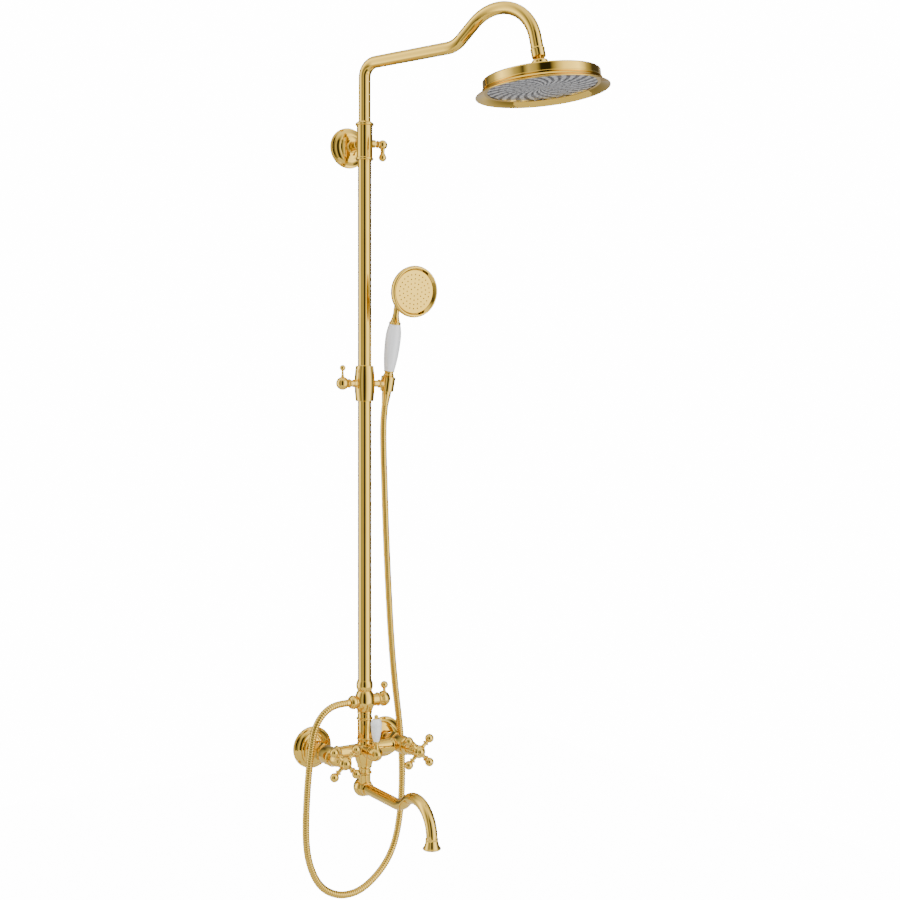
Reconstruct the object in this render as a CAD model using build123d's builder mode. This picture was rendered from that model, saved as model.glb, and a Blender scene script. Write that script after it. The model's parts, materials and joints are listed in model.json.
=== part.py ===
"""Exposed wall-mounted shower column: two-handle bath mixer, telescopic riser with rain head, hand shower.

Units are millimetres. The origin is midway between the two wall inlets, on the finished wall.
+Z is up, the wall is the plane y = 0 and the room is towards -Y.
"""
import os
from math import atan2, cos, radians, sin, sqrt, tan

from build123d import *

os.makedirs("parts", exist_ok=True)

# ---- driving dimensions -------------------------------------------------
INLET_SPACING = 150
WALL_TO_COLUMN = 65
THREAD_R = 10.48  # G1/2 inlet thread
LOWER_TUBE_R = 12.5
UPPER_TUBE_R = 11
TUBE_WALL = 1.2
TUBE_BOTTOM = 108
TUBE_TOP = 1086
BRACKET_Z = 1106
COLLAR_BOTTOM = 1074
COLLAR_TOP = 1144
GUIDE_Z = 732
ARM_SWING = 22  # degrees the arm is turned to +X at rest
ARM_END_TILT = 12  # degrees the arm's end points outwards from straight down
HEAD_R = 98.8
RIM_R = 112.6
SLIDER_Z = 667
HOLDER_X = 48
HOLDER_LEAN = 14  # degrees the handset leans away from the wall
HANDSET_FACE_TURN = 7  # degrees the spray face is turned up from square to the handle
DIVERTER_Z = 88
HANDLE_REACH = 133.5  # cross handle centre, from the wall
SPOUT_Z = -70
SPOUT_REACH = 236.5
HOSE_R = 6.5
RUN_FIT = 0.08  # radial clearance of a part that turns or slides in another

COLUMN_Y = -WALL_TO_COLUMN
FORWARD = (0, -1, 0)
UP = (0, 0, 1)
DOWN = (0, 0, -1)
RIGHT = (1, 0, 0)
LEFT = (-1, 0, 0)
SIDES = {"left": -INLET_SPACING / 2, "right": INLET_SPACING / 2}


# ---- drawing helpers ----------------------------------------------------
def station(origin, direction):
    """A turning axis and a drawing plane whose x runs along it and whose y is the radius."""
    x_dir = Vector(*direction).normalized()
    side = Vector(1, 0, 0) if abs(x_dir.Z) > 0.7 else Vector(0, 0, 1)
    plane = Plane(origin=origin, x_dir=x_dir, z_dir=x_dir.cross(side).normalized())
    return plane, Axis(origin, x_dir)


def outline(place, *steps):
    """A closed face from steps of (along, radius); a step of two points is an arc through the first."""
    with BuildSketch(place[0]) as face:
        with BuildLine():
            here = steps[0]
            for step in steps[1:] + (steps[0],):
                if isinstance(step[0], tuple):
                    ThreePointArc(here, step[0], step[1])
                    here = step[1]
                elif step != here:
                    Line(here, step)
                    here = step
        make_face()
    return face.sketch


def crown(edge, tip):
    """Mid-point of the arc, centred on the turning axis, from an edge point to the axis at tip."""
    along, radius = edge
    centre = (tip**2 - along**2 - radius**2) / (2 * (tip - along))
    half = atan2(radius, along - centre) / 2
    return centre + (tip - centre) * cos(half), (tip - centre) * sin(half)


def turned(place, *steps):
    """The solid that an outline makes when it is turned about its station's axis."""
    return revolve(outline(place, *steps), axis=place[1], mode=Mode.PRIVATE)


def rod(place, start, end, radius):
    return turned(place, (start, 0), (start, radius), (end, radius), (end, 0))


def save(body, label):
    body.part.label = label
    export_step(body.part, f"parts/{label}.step")


column = station((0, COLUMN_Y, 0), UP)


# ---- wall connections: flange, eccentric union, washer and nut on each side ----
UNION_R = 10.9
UNION_FACE = 47.2  # where the eccentric's face meets its washer, from the wall
BODY_BACK = 49
NUT_BACK, NUT_FRONT = 35, 51
NUT_FLATS = 30

for side, x in SIDES.items():
    inlet = station((x, 0, 0), FORWARD)

    with BuildPart() as wall_flange:
        add(
            turned(
                inlet,
                (0, 38), (3, 38), ((4.5, 37.4), (5, 36)), (6.2, 33.6),
                ((10, 30), (12.6, 24)), ((14.8, 18.5), (15.6, 14)), (19, 13.2), (19, 11.3),
                (14, 11.3), (13.9, 14), ((12.8, 18), (10.9, 23.3)),
                ((8.4, 28.6), (4.6, 32.2)), (3.2, 35.4), (0, 35.4),
            )
        )
    save(wall_flange, f"wall_flange_{side}")

    with BuildPart() as eccentric_union:
        add(
            turned(
                inlet,
                (-16, 7), (-16, THREAD_R - 1), (-15, THREAD_R), (0, THREAD_R), (0, UNION_R),
                (44, UNION_R), (44, 12.6), (UNION_FACE, 12.6), (UNION_FACE, 7),
            )
        )
    save(eccentric_union, f"eccentric_union_{side}")

with BuildPart() as union_washers:
    for x in SIDES.values():
        inlet = station((x, 0, 0), FORWARD)
        add(turned(inlet, (UNION_FACE, 7.6), (UNION_FACE, 12.4), (BODY_BACK, 12.4), (BODY_BACK, 7.6)))
save(union_washers, "union_washers")

with BuildPart() as union_nuts:
    for x in SIDES.values():
        inlet = station((x, 0, 0), FORWARD)
        with BuildSketch(Plane(origin=(x, -NUT_BACK, 0), x_dir=(0, 0, 1), z_dir=FORWARD)):
            RegularPolygon(NUT_FLATS / 2, 6, major_radius=False)
        extrude(amount=NUT_FRONT - NUT_BACK)
        cone = turned(
            inlet,
            (NUT_BACK, 0), (NUT_BACK, 15.4), (NUT_BACK + 2.5, 18), (NUT_FRONT - 2.5, 18),
            (NUT_FRONT, 15.4), (NUT_FRONT, 0),
        )
        other = turned(
            station((-x, 0, 0), FORWARD),
            (NUT_BACK - 1, 0), (NUT_BACK - 1, 30), (NUT_FRONT + 1, 30), (NUT_FRONT + 1, 0),
        )
        add(cone + other, mode=Mode.INTERSECT)
        add(rod(inlet, NUT_BACK - 1, NUT_FRONT + 1, UNION_R + 0.3), mode=Mode.SUBTRACT)
        add(rod(inlet, 43.5, NUT_FRONT + 1, 13.3), mode=Mode.SUBTRACT)
save(union_nuts, "union_nuts")


# ---- mixer body: one casting with two valve chambers, a cross barrel and a diverter boss ----
CHAMBER_FRONT = 86
BOSS_FRONT = 96
CARTRIDGE_R = 9.9
BODY_TOP = 7
BODY_BOTTOM = -29
cross_axis = station((0, COLUMN_Y, 0), RIGHT)
boss_axis = station((0, 0, 0), FORWARD)

with BuildPart() as mixer_body:
    add(
        turned(
            column,
            (BODY_BOTTOM, 0), (BODY_BOTTOM, 13.6), (-26, 14.2), ((-9, 18.6), (BODY_TOP - 1, 17.4)),
            (BODY_TOP, 16.8), (BODY_TOP, 0),
        )
    )
    add(
        turned(
            cross_axis,
            (-75, 0), (-75, 12), (-60, 12), (-58, 13.2), ((-56, 13.8), (-54, 13.2)), (-52, 12),
            (52, 12), (54, 13.2), ((56, 13.8), (58, 13.2)), (60, 12), (75, 12), (75, 0),
        )
    )
    add(turned(boss_axis, (65, 0), (65, 13), (90, 13), (91, 14.4), (BOSS_FRONT, 14.4), (BOSS_FRONT, 0)))
    for x in SIDES.values():
        inlet = station((x, 0, 0), FORWARD)
        add(
            turned(
                inlet,
                (BODY_BACK, 0), (BODY_BACK, 13.1), (51.3, 13.1), (51.3, 15),
                ((68, 16.6), (CHAMBER_FRONT - 1.5, 15.4)), (CHAMBER_FRONT, 14.6), (CHAMBER_FRONT, 0),
            )
        )
    add(rod(cross_axis, -66, 66, 6), mode=Mode.SUBTRACT)
    for x in SIDES.values():
        inlet = station((x, 0, 0), FORWARD)
        add(rod(inlet, BODY_BACK, 60, 7), mode=Mode.SUBTRACT)
        add(rod(inlet, 60, CHAMBER_FRONT, CARTRIDGE_R + 0.1), mode=Mode.SUBTRACT)
    add(rod(column, -24, BODY_TOP, 8.5), mode=Mode.SUBTRACT)
    add(rod(column, BODY_BOTTOM, -24, 7.45), mode=Mode.SUBTRACT)
    add(rod(boss_axis, 70, BOSS_FRONT, 9.2), mode=Mode.SUBTRACT)
save(mixer_body, "mixer_body")


# ---- the two screw-down valves and their cross handles ----
SPINDLE_R = 4.9
BONNET_FRONT = 118
HUB_BACK = 118.6
ARM_BALL = 30.5  # handle centre to the middle of each ball
BALL_R = 8.2

with BuildPart() as valve_cartridges:
    for x in SIDES.values():
        inlet = station((x, 0, 0), FORWARD)
        add(turned(inlet, (60.3, 4), (60.3, CARTRIDGE_R), (91, CARTRIDGE_R), (91, 4)))
save(valve_cartridges, "valve_cartridges")

for side, x in SIDES.items():
    inlet = station((x, 0, 0), FORWARD)

    with BuildPart() as valve_bonnet:
        add(
            turned(
                inlet,
                (CHAMBER_FRONT, 10.1), (CHAMBER_FRONT, 15.6), ((88, 16.4), (90, 15.6)), (90.6, 14),
                (96, 13.6), ((106, 12.4), (113, 9.6)), (113.4, 10.6), ((115, 11), (116.6, 10.4)),
                (BONNET_FRONT, 9), (BONNET_FRONT, SPINDLE_R + RUN_FIT), (100, SPINDLE_R + RUN_FIT),
                (92, 10.1),
            )
        )
    save(valve_bonnet, f"valve_bonnet_{side}")

    with BuildPart() as valve_spindle:
        add(turned(inlet, (91.3, 0), (91.3, SPINDLE_R), (130, SPINDLE_R), (130, 0)))
    save(valve_spindle, f"valve_spindle_{side}")

    with BuildPart() as cross_handle:
        add(
            turned(
                inlet,
                (HUB_BACK, 0), (HUB_BACK, 9.6), ((120, 10.6), (121.4, 9.6)), (123, 8.2),
                ((126, 8.2), (128, 10)), ((HANDLE_REACH, 12), (139, 10)), (141, 8.4), (141, 0),
            )
        )
        for turn in range(4):
            angle = radians(45 + 90 * turn)
            arm = station((x, -HANDLE_REACH, 0), (cos(angle), 0, sin(angle)))
            shoulder = ARM_BALL - sqrt(BALL_R**2 - 3.8**2)
            add(
                turned(
                    arm,
                    (4, 0), (4, 5.6), ((11, 4.1), (17.6, 3.4)), (18.2, 3.4), ((19.8, 5.8), (21.4, 3.8)),
                    (shoulder, 3.8), ((ARM_BALL, BALL_R), (ARM_BALL + BALL_R, 0)),
                )
            )
        add(rod(inlet, HUB_BACK, 130.3, SPINDLE_R + 0.05), mode=Mode.SUBTRACT)
        add(rod(inlet, 136, 141, 3.1), mode=Mode.SUBTRACT)
    save(cross_handle, f"cross_handle_{side}")

    with BuildPart() as handle_cap:
        add(turned(inlet, (136.3, 0), (136.3, 3), (141, 3), (141, 7.8), (crown((141, 7.8), 145.6), (145.6, 0))))
    save(handle_cap, f"handle_cap_{side}")


# ---- bath diverter in the middle of the mixer, with its upright lever ----
LEVER_REACH = 109  # lever's centre line, from the wall
DIVERTER_SPINDLE_R = 4.5
lever_axis = station((0, -LEVER_REACH, 0), UP)
GRIP_BOTTOM, GRIP_TOP = 23.6, 64

with BuildPart() as tub_diverter_bonnet:
    add(
        turned(
            boss_axis,
            (84, DIVERTER_SPINDLE_R + RUN_FIT), (84, 9.1), (BOSS_FRONT, 9.1), (BOSS_FRONT, 13.4),
            ((97.2, 14), (98.4, 13.2)), (98.4, DIVERTER_SPINDLE_R + RUN_FIT),
        )
    )
save(tub_diverter_bonnet, "tub_diverter_bonnet")

with BuildPart() as tub_diverter_spindle:
    add(rod(boss_axis, 74, 104, DIVERTER_SPINDLE_R))
save(tub_diverter_spindle, "tub_diverter_spindle")

with BuildPart() as tub_diverter_lever:
    add(
        turned(
            boss_axis,
            (98.8, 0), (98.8, 11.6), ((100, 13), (102, 13.2)), ((110.5, 12.4), (118, 7)),
            (crown((118, 7), 121), (121, 0)),
        )
    )
    add(
        turned(
            lever_axis,
            (4, 0), (4, 6.4), (12, 5.6), ((16, 4.3), (20, 4.2)), (20.4, 5.4),
            ((22, 6.1), (GRIP_BOTTOM, 5.4)), (GRIP_BOTTOM, 2.5), (GRIP_TOP + 2, 2.5), (GRIP_TOP + 2, 0),
        )
    )
    add(rod(boss_axis, 98.8, 104.3, DIVERTER_SPINDLE_R + 0.05), mode=Mode.SUBTRACT)
save(tub_diverter_lever, "tub_diverter_lever")

with BuildPart() as tub_diverter_grip:
    add(
        turned(
            lever_axis,
            (GRIP_BOTTOM, 2.7), (GRIP_BOTTOM, 5.2), ((37, 8.5), (50, 9.6)), ((59, 9.3), (GRIP_TOP, 6)),
            (GRIP_TOP, 2.7),
        )
    )
save(tub_diverter_grip, "tub_diverter_grip")

with BuildPart() as tub_diverter_finial:
    add(
        turned(
            lever_axis,
            (GRIP_TOP, 2.6), (GRIP_TOP, 4.6), (65.2, 3.6), (crown((65.2, 3.6), 71.6), (71.6, 0)),
            (GRIP_TOP + 2.3, 0), (GRIP_TOP + 2.3, 2.6),
        )
    )
save(tub_diverter_finial, "tub_diverter_finial")


# ---- swivel spout under the mixer ----
PIVOT_R = 7.4
COLLAR_END = -45
ELBOW_R = 17.6
ELBOW_SET_BACK = 7  # the elbow's ball sits a little behind its neck
SPOUT_R = 9.8
SPOUT_BORE = 8
O_RINGS = (-50, -56)
SPOUT_TIP = -97

with BuildPart() as spout_collar:
    add(
        turned(
            column,
            (BODY_BOTTOM, PIVOT_R + 0.05), (BODY_BOTTOM, 13.6), (-31.5, 13.6), ((-33, 12.2), (-36, 11.5)),
            (-40.4, 11.5), ((-42.4, 13.4), (-44.4, 11.5)), (COLLAR_END, 11), (COLLAR_END, PIVOT_R + 0.05),
        )
    )
save(spout_collar, "spout_collar")

with BuildPart() as spout_pivot_stem:
    add(turned(column, (-20, 5), (-20, PIVOT_R), (-61, PIVOT_R), (-61, 5)))
    for z in O_RINGS:
        add(turned(column, (z - 1, 6.7), (z - 1, 8), (z + 1, 8), (z + 1, 6.7)), mode=Mode.SUBTRACT)
save(spout_pivot_stem, "spout_pivot_stem")

with BuildPart() as spout_o_rings:
    for z in O_RINGS:
        add(turned(column, (z - 0.9, 6.75), (z - 0.9, 7.92), (z + 0.9, 7.92), (z + 0.9, 6.75)))
save(spout_o_rings, "spout_o_rings")

spout_axis = station((0, COLUMN_Y, SPOUT_Z), FORWARD)
with BuildPart() as spout_elbow:
    add(rod(column, SPOUT_Z, COLLAR_END - 0.4, 11))
    ball = station((0, COLUMN_Y + ELBOW_SET_BACK, SPOUT_Z), UP)
    add(turned(ball, (-ELBOW_R, 0), ((0, ELBOW_R), (ELBOW_R, 0))))
    add(turned(spout_axis, (0, 0), (0, 12.4), (12.6, 12.4), (14, 11.2), (14, 0)))
    add(rod(column, COLLAR_END, SPOUT_Z, 8), mode=Mode.SUBTRACT)
    add(rod(spout_axis, 0, 12, 7.9), mode=Mode.SUBTRACT)
    add(rod(spout_axis, 12, 15, SPOUT_R + 0.02), mode=Mode.SUBTRACT)
save(spout_elbow, "spout_elbow")

RISE_ANGLE = 40
RISE_R = 54.7
BOW_R = 52
spout_plane = Plane(origin=(0, COLUMN_Y, 0), x_dir=FORWARD, z_dir=(-1, 0, 0))
bow_start = SPOUT_REACH - BOW_R - BOW_R * sin(radians(RISE_ANGLE))
rise_start = bow_start - RISE_R * sin(radians(RISE_ANGLE))
with BuildPart() as spout_tube:
    with BuildLine(spout_plane) as spout_path:
        level = Line((12.2, SPOUT_Z), (rise_start, SPOUT_Z))
        rise = JernArc(level @ 1, level % 1, RISE_R, RISE_ANGLE)
        bow = JernArc(rise @ 1, rise % 1, BOW_R, -(RISE_ANGLE + 90))
    spout_end = bow @ 1
    start_plane = Plane(origin=spout_path.line @ 0, z_dir=FORWARD)
    with BuildSketch(start_plane):
        Circle(SPOUT_R)
        Circle(SPOUT_BORE, mode=Mode.SUBTRACT)
    sweep(path=spout_path.line)
save(spout_tube, "spout_tube")

tip = station((spout_end.X, spout_end.Y, spout_end.Z), DOWN)
with BuildPart() as aerator_housing:
    add(
        turned(
            tip,
            (0, 8.2), (0, 10.2), (1, 10.9), ((9, 11.6), (15.5, 14.4)), ((17.6, 15.6), (19, 14.4)),
            (19, 10), (5, 10), (5, 8.2),
        )
    )
save(aerator_housing, "aerator_housing")

with BuildPart() as aerator_insert:
    add(rod(tip, 5.3, 17, 9.9))
    with BuildSketch(Plane(origin=tip[1].position - Vector(0, 0, 17), z_dir=UP)):
        for count, radius in ((6, 3.8), (12, 7.6)):
            with PolarLocations(radius, count):
                Circle(1.1)
    extrude(amount=10, mode=Mode.SUBTRACT)
save(aerator_insert, "aerator_insert")


# ---- column foot, hand shower diverter and its hose outlet ----
FOOT_TOP = 70
DIVERTER_TOP = 107
diverter_axis = station((0, COLUMN_Y, DIVERTER_Z), RIGHT)
outlet_axis = station((0, COLUMN_Y, DIVERTER_Z), LEFT)
DIVERTER_STEM_R = 5.8

with BuildPart() as column_foot:
    add(
        turned(
            column,
            (BODY_TOP, 8.5), (BODY_TOP, 16.8), ((11.5, 13.9), (18.4, 13)), ((20.2, 14.4), (22, 13)),
            (54.4, 13), ((56.6, 15), (58.8, 13)), (66, 13), (66.6, 13.8), (FOOT_TOP, 13.8), (FOOT_TOP, 8.5),
        )
    )
    add(rod(cross_axis, -30, 30, 12.04), mode=Mode.SUBTRACT)
    add(rod(boss_axis, 65, 90, 13.04), mode=Mode.SUBTRACT)
save(column_foot, "column_foot")

with BuildPart() as shower_diverter_body:
    add(turned(column, (FOOT_TOP, 0), (FOOT_TOP, 13.2), ((88.5, 18.3), (DIVERTER_TOP, 13.2)), (DIVERTER_TOP, 0)))
    add(turned(diverter_axis, (8, 0), (8, 11.4), (25.6, 11.2), ((27.2, 12.8), (28.8, 11.2)), (28.8, 0)))
    add(rod(outlet_axis, 8, 24, 9))
    add(rod(column, FOOT_TOP, DIVERTER_TOP, 8.5), mode=Mode.SUBTRACT)
    add(rod(diverter_axis, 0, 28.8, DIVERTER_STEM_R + RUN_FIT), mode=Mode.SUBTRACT)
    add(rod(outlet_axis, 0, 24, 5), mode=Mode.SUBTRACT)
save(shower_diverter_body, "shower_diverter_body")

with BuildPart() as shower_diverter_spindle:
    add(rod(diverter_axis, 9.5, 36, DIVERTER_STEM_R))
save(shower_diverter_spindle, "shower_diverter_spindle")

KNOB_X = 41
with BuildPart() as shower_diverter_knob:
    add(
        turned(
            diverter_axis,
            (29.2, 0), (29.2, 9.6), (31.2, 9.6), ((33.4, 11.6), (36, 13.8)), (crown((36, 13.8), 52), (52, 0)),
        )
    )
    stick = station((KNOB_X, COLUMN_Y, DIVERTER_Z), UP)
    add(
        turned(
            stick,
            (6, 0), (6, 5), (12, 4.4), ((14, 3.3), (18.6, 2.9)), (crown((18.6, 2.9), 32), (32, 0)),
        )
    )
    add(rod(diverter_axis, 29.2, 36.3, DIVERTER_STEM_R + 0.05), mode=Mode.SUBTRACT)
save(shower_diverter_knob, "shower_diverter_knob")

HOSE_START = 38  # where the hose leaves its sleeve, from the column's axis
with BuildPart() as hose_outlet_nut:
    add(
        turned(
            outlet_axis,
            (18.6, 9.1), (18.6, 10.6), (19.6, 11.6), ((25, 12.5), (29.4, 10.6)), ((30.8, 9), (31, 7.4)),
            (31, 6.7), (26.2, 6.7), (26.2, 9.1),
        )
    )
save(hose_outlet_nut, "hose_outlet_nut")

with BuildPart() as hose_outlet_sleeve:
    add(turned(outlet_axis, (24.3, 4.2), (24.3, 8.9), (26, 8.9), (26, HOSE_R), (HOSE_START, HOSE_R), (HOSE_START, 4.2)))
save(hose_outlet_sleeve, "hose_outlet_sleeve")

with BuildPart() as riser_nut:
    add(
        turned(
            column,
            (DIVERTER_TOP, LOWER_TUBE_R + 0.02), (DIVERTER_TOP, 13), ((117, 15.4), (126.5, 13)),
            (126.5, LOWER_TUBE_R + 0.02),
        )
    )
save(riser_nut, "riser_nut")

with BuildPart() as lower_tube:
    bore = LOWER_TUBE_R - TUBE_WALL
    add(turned(column, (TUBE_BOTTOM, bore), (TUBE_BOTTOM, LOWER_TUBE_R), (TUBE_TOP, LOWER_TUBE_R), (TUBE_TOP, bore)))
save(lower_tube, "lower_tube")


# ---- upper bracket: clamp collar on the column, stem, flange and wall plate ----
bracket_axis = station((0, 0, BRACKET_Z), FORWARD)
lock_axis = station((0, COLUMN_Y, BRACKET_Z), RIGHT)
SCREW_R = 3.9

with BuildPart() as top_collar:
    add(
        turned(
            column,
            (COLLAR_BOTTOM, 0), (COLLAR_BOTTOM, 14.5), ((COLLAR_BOTTOM + 2.6, 16.4), (COLLAR_BOTTOM + 5.2, 14.5)),
            (COLLAR_TOP - 7.4, 14.5), ((COLLAR_TOP - 4.4, 17), (COLLAR_TOP - 1.4, 14.5)),
            (COLLAR_TOP, 13.4), (COLLAR_TOP, 0),
        )
    )
    add(turned(lock_axis, (10, 0), (10, 8.6), (18, 7.4), (20.6, 7.4), (20.6, 0)))
    add(turned(bracket_axis, (47, 0), (47, 9.6), (56, 9.6), (56, 0)))
    add(rod(column, COLLAR_BOTTOM, COLLAR_TOP, UPPER_TUBE_R + RUN_FIT), mode=Mode.SUBTRACT)
    add(rod(column, COLLAR_BOTTOM, TUBE_TOP + 0.5, LOWER_TUBE_R + 0.03), mode=Mode.SUBTRACT)
    add(rod(lock_axis, 11, 20.6, SCREW_R + RUN_FIT), mode=Mode.SUBTRACT)
save(top_collar, "top_collar")

with BuildPart() as bracket_stem:
    add(
        turned(
            bracket_axis,
            (3.2, 4.1), (3.2, 8.5), (18, 8.5), ((20, 10.8), (22, 8.5)), (42, 8.5),
            ((44.4, 10.8), (46.9, 10)), (46.9, 0), (13, 0), (13, 4.1),
        )
    )
save(bracket_stem, "bracket_stem")

with BuildPart() as bracket_flange:
    add(
        turned(
            bracket_axis,
            (0, 37.5), (3, 37.5), ((4.5, 36.9), (5, 35.5)), (6.2, 33), ((10, 29.4), (13.2, 22)),
            ((15.6, 15.5), (16.4, 10.6)), (17.4, 10), (17.4, 8.7),
            (14.6, 8.7), ((13.6, 14.8), (11.4, 21.2)), ((8.4, 28), (4.6, 31.6)), (3.2, 34.9), (0, 34.9),
        )
    )
save(bracket_flange, "bracket_flange")

PLATE_HOLE_SPACING = 34
PLATE_HOLE_R = 2.6
with BuildPart() as bracket_wall_plate:
    add(turned(bracket_axis, (0, 0), (0, 26), (3, 26), (3, 4), (12.5, 4), (12.5, 0)))
    for x in (-PLATE_HOLE_SPACING / 2, PLATE_HOLE_SPACING / 2):
        add(rod(station((x, 0, BRACKET_Z), FORWARD), 0, 3, PLATE_HOLE_R), mode=Mode.SUBTRACT)
save(bracket_wall_plate, "bracket_wall_plate")

LEVER_X = 37.5
with BuildPart() as collar_lock_lever:
    add(
        turned(
            lock_axis,
            (12.6, 0), (12.6, SCREW_R), (21, SCREW_R), (21, 5.8), (25.4, 4.8), ((26.8, 7.2), (28.2, 4.8)),
            (LEVER_X - sqrt(9**2 - 4.8**2), 4.8), ((LEVER_X, 9), (LEVER_X + 9, 0)),
        )
    )
    drop = station((LEVER_X, COLUMN_Y, BRACKET_Z), DOWN)
    add(
        turned(
            drop,
            (4, 0), (4, 5), ((10, 4.2), (14.6, 4)), ((17, 4.8), (19.4, 6)), (crown((19.4, 6), 30.7), (30.7, 0)),
        )
    )
save(collar_lock_lever, "collar_lock_lever")


# ---- telescopic upper tube bent into the shower arm ----
ARM_Z = 1250
FIRST_BEND_R = 25
KICK_ANGLE = 40
KICK_R = 45
KICK_CORNER = 203.9
HOOK_R = 76.5
HOOK_START = (243.8, 1283.5)
ARM_END_Z = 1221
swing = radians(ARM_SWING)
outward = Vector(sin(swing), -cos(swing), 0)
end_tilt = radians(ARM_END_TILT)
end_direction = outward * sin(end_tilt) - Vector(0, 0, 1) * cos(end_tilt)

with BuildPart() as riser_guide_ring:
    top = GUIDE_Z + 8
    add(
        turned(
            column,
            (GUIDE_Z, 8), (GUIDE_Z, 11.22), (top, 11.22), (top, 9.5), (top + 10, 9.5), (top + 10, 8),
        )
    )
save(riser_guide_ring, "riser_guide_ring")

arm_plane = Plane(origin=(0, COLUMN_Y, 0), x_dir=outward, z_dir=outward.cross(Vector(0, 0, 1)))
with BuildPart() as riser_arm:
    with BuildLine(arm_plane) as arm_path:
        kick_run = KICK_R * tan(radians(KICK_ANGLE / 2))
        upright = Line((0, GUIDE_Z + 8), (0, ARM_Z - FIRST_BEND_R))
        first_bend = JernArc(upright @ 1, upright % 1, FIRST_BEND_R, -90)
        straight = Line(first_bend @ 1, (KICK_CORNER - kick_run, ARM_Z))
        kick = JernArc(straight @ 1, straight % 1, KICK_R, KICK_ANGLE)
        ramp = Line(kick @ 1, HOOK_START)
        hook = JernArc(ramp @ 1, ramp % 1, HOOK_R, -(KICK_ANGLE + 90 - ARM_END_TILT))
        tail_length = ((hook @ 1).Z - ARM_END_Z) / cos(end_tilt)
        tail = Line(hook @ 1, hook @ 1 + (hook % 1) * tail_length)
    arm_end = tail @ 1
    with BuildSketch(Plane(origin=upright @ 0, z_dir=UP)):
        Circle(UPPER_TUBE_R)
        Circle(UPPER_TUBE_R - TUBE_WALL, mode=Mode.SUBTRACT)
    sweep(path=arm_path.line)
save(riser_arm, "riser_arm")


# ---- ball joint that carries the rain head ----
BALL_DROP = 24.6  # arm end to ball centre
SWIVEL_BALL_R = 8
BALL_NECK_R = 4.4
SOCKET_R = SWIVEL_BALL_R + RUN_FIT
SEAT_R = 11.5
arm_tip = station(arm_end, end_direction)
ball_centre = arm_end + end_direction * BALL_DROP
# The head hangs a little nearer to plumb than the arm's end, tipped outwards and to +X.
HEAD_TIP_OUT = 4.4
HEAD_TIP_SIDE = 3.2
sideways = Vector(cos(swing), sin(swing), 0)
spray = Vector(0, 0, -1) + outward * tan(radians(HEAD_TIP_OUT)) + sideways * tan(radians(HEAD_TIP_SIDE))
head = station(ball_centre, spray)

with BuildPart() as swivel_ball_stem:
    add(
        turned(
            arm_tip,
            (0, 5), (0, 12), (1.6, 12.6), (3.2, 12), (13.6, 12), ((15.4, 11.4), (16, 9.6)), (16, BALL_NECK_R),
            (BALL_DROP - sqrt(SWIVEL_BALL_R**2 - BALL_NECK_R**2), BALL_NECK_R),
            ((BALL_DROP, SWIVEL_BALL_R), (BALL_DROP + sqrt(SWIVEL_BALL_R**2 - 9), 3)), (13, 3), (11, 5),
        )
    )
save(swivel_ball_stem, "swivel_ball_stem")

with BuildPart() as swivel_seat:
    inner, outer = SOCKET_R, SEAT_R
    low, high = 7.4, 3
    add(
        turned(
            head,
            (high, sqrt(inner**2 - high**2)),
            (high, sqrt(outer**2 - high**2)),
            ((4.6, sqrt(outer**2 - 4.6**2)), (low, sqrt(outer**2 - low**2))),
            (low, sqrt(inner**2 - low**2)),
            ((4.6, sqrt(inner**2 - 4.6**2)), (high, sqrt(inner**2 - high**2))),
        )
    )
save(swivel_seat, "swivel_seat")

with BuildPart() as swivel_nut:
    lip = -4.2
    cup = SEAT_R + 0.15
    add(
        turned(
            head,
            (-5, 8.4), (-5, 9.6), ((-4.2, 12.2), (-2, 13.8)), (2.8, 14.2), (2.8, 11.6),
            (0, cup), (0, SOCKET_R),
            ((-2.2, sqrt(SOCKET_R**2 - 2.2**2)), (lip, sqrt(SOCKET_R**2 - lip**2))),
        )
    )
save(swivel_nut, "swivel_nut")


# ---- rain head: spun shell with a flared lip, and the nozzle plate inside it ----
PLATE_R = 91.7
WALL_BOTTOM = 38
with BuildPart() as head_shell:
    cup = SEAT_R + 0.15
    add(
        turned(
            head,
            (3, 13.4), (7.4, 13.4), ((8.6, 14.6), (9, 17.5)), ((14, 60), (21.6, 95)),
            ((22.6, 98), (24.4, HEAD_R)), (WALL_BOTTOM - 2, HEAD_R), ((WALL_BOTTOM - 0.6, 100.6), (WALL_BOTTOM + 0.8, HEAD_R + 0.4)),
            ((43.4, 102.4), (46.4, 108.6)), ((48.2, 111.4), (48.4, RIM_R)), ((49.4, RIM_R + 0.2), (49.6, RIM_R - 1.2)),
            ((46.4, 104), (42.6, 97)), (42.6, PLATE_R + 0.3), (39, PLATE_R + 0.3), (36.5, 96.4),
            (25.4, 96.4), ((24.4, 95.6), (23.8, 94)), ((16.4, 60), (11.4, 17.5)), (11.4, 5.4),
            (9, 5.4), (9, sqrt(cup**2 - 81)), ((6.2, sqrt(cup**2 - 6.2**2)), (3, sqrt(cup**2 - 9))),
        )
    )
save(head_shell, "head_shell")

with BuildPart() as nozzle_plate:
    add(
        turned(
            head,
            (39.3, 0), (39.3, PLATE_R - 4), (30, PLATE_R - 4), (30, PLATE_R - 2), (39.3, PLATE_R - 2),
            (39.3, PLATE_R), (41.6, PLATE_R), (41.6, 0),
        )
    )
save(nozzle_plate, "nozzle_plate")


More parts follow.
